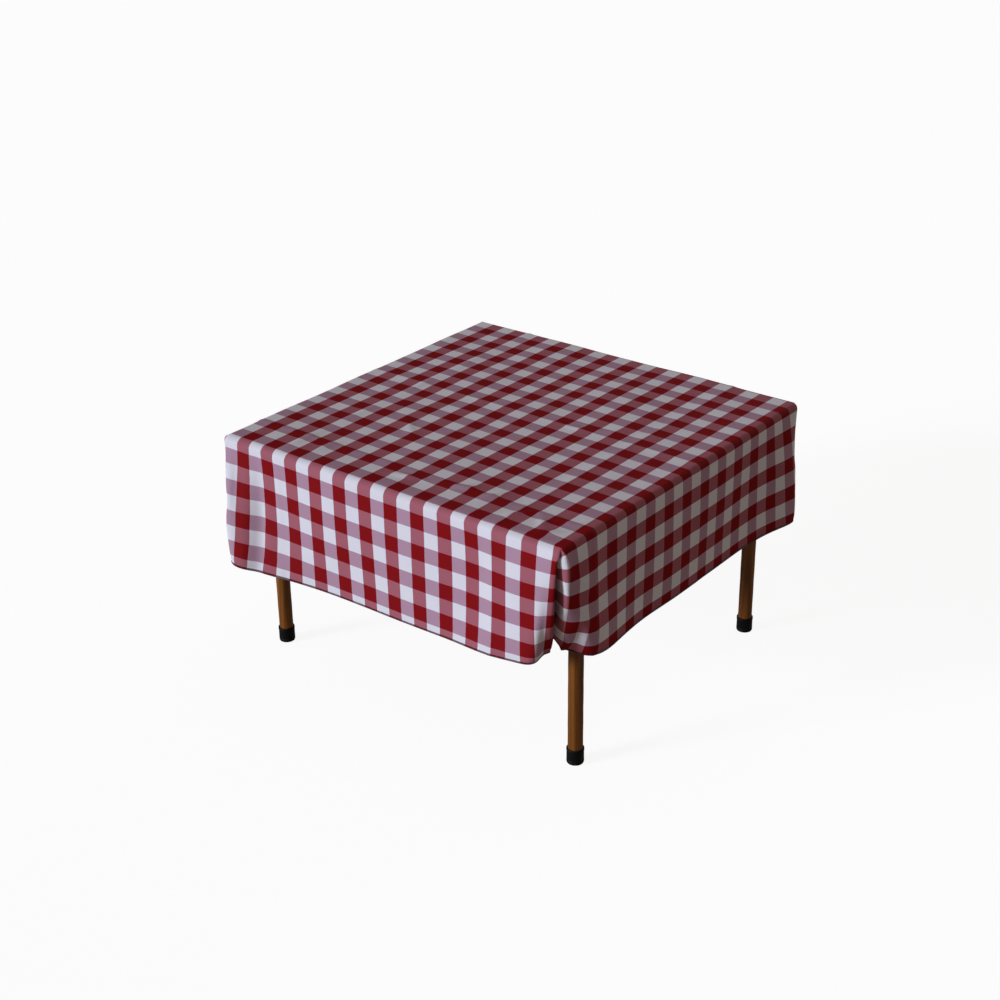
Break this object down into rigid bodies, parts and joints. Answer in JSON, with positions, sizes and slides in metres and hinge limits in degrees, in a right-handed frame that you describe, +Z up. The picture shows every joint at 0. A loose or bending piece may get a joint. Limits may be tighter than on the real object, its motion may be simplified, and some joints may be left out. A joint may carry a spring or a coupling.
{
  "type": "tablecloth on a folding table",
  "caption": "Square checked tablecloth with folded corners draped over a low slatted picnic table whose round legs fold flat under the top.",
  "frame": {"origin": "on the floor, under the middle of the table", "axes": "+Z up; +X to the right end, where one pair of legs hinges; -Y to the front"},
  "size_m": [0.738, 0.738, 0.4247],
  "materials": {
    "cloth": "woven red and white checked polyester, matt with a faint sheen",
    "edging_thread": "overlocked thread, dark red",
    "slat_wood": "clear varnished hardwood",
    "leg_wood": "orange-brown varnished hardwood, satin gloss",
    "rubber": "moulded black rubber, matt",
    "steel": "zinc plated",
    "washer_fibre": "red-brown vulcanised fibre"
  },
  "bodies": {
    "table_top": {"slat_1": "slat_wood", "slat_2": "slat_wood", "slat_3": "slat_wood", "slat_4": "slat_wood", "slat_5": "slat_wood", "slat_6": "slat_wood", "slat_7": "slat_wood", "slat_8": "slat_wood", "slat_9": "slat_wood", "batten_front": "slat_wood", "batten_back": "slat_wood", "end_rail_left": "slat_wood", "end_rail_right": "slat_wood", "slat_screw_1_front": "steel", "slat_screw_1_back": "steel", "slat_screw_2_front": "steel", "slat_screw_2_back": "steel", "slat_screw_3_front": "steel", "slat_screw_3_back": "steel", "slat_screw_4_front": "steel", "slat_screw_4_back": "steel", "slat_screw_5_front": "steel", "slat_screw_5_back": "steel", "slat_screw_6_front": "steel", "slat_screw_6_back": "steel", "slat_screw_7_front": "steel", "slat_screw_7_back": "steel", "slat_screw_8_front": "steel", "slat_screw_8_back": "steel", "slat_screw_9_front": "steel", "slat_screw_9_back": "steel", "rail_screw_left_front": "steel", "rail_screw_left_back": "steel", "rail_screw_right_front": "steel", "rail_screw_right_back": "steel", "pivot_bolt_front_left": "steel", "pivot_bolt_back_left": "steel", "pivot_bolt_front_right": "steel", "pivot_bolt_back_right": "steel", "pivot_washer_front_left": "washer_fibre", "pivot_washer_back_left": "washer_fibre", "pivot_washer_front_right": "washer_fibre", "pivot_washer_back_right": "washer_fibre", "pivot_nut_front_left": "steel", "pivot_nut_back_left": "steel", "pivot_nut_front_right": "steel", "pivot_nut_back_right": "steel"},
    "leg_frame_left": {"leg_front_left": "leg_wood", "leg_back_left": "leg_wood", "foot_cap_front_left": "rubber", "foot_cap_back_left": "rubber", "stretcher_left": "leg_wood"},
    "leg_frame_right": {"leg_front_right": "leg_wood", "leg_back_right": "leg_wood", "foot_cap_front_right": "rubber", "foot_cap_back_right": "rubber", "stretcher_right": "leg_wood"},
    "tablecloth": {"tablecloth": "cloth", "hem_edging": "edging_thread"}
  },
  "joints": [
    {"name": "left_legs_fold", "type": "hinge", "parent": "table_top", "child": "leg_frame_left", "pos_m": [-0.3207, 0, 0.3917], "axis": [0, -1, 0], "range_deg": [0, 83]},
    {"name": "right_legs_fold", "type": "hinge", "parent": "table_top", "child": "leg_frame_right", "pos_m": [0.3207, 0, 0.3917], "axis": [0, 1, 0], "range_deg": [0, 90]},
    {"name": "tablecloth_lift", "type": "slide", "parent": "table_top", "child": "tablecloth", "axis": [0, 0, 1], "range_m": [0, 0.25]}
  ]
}
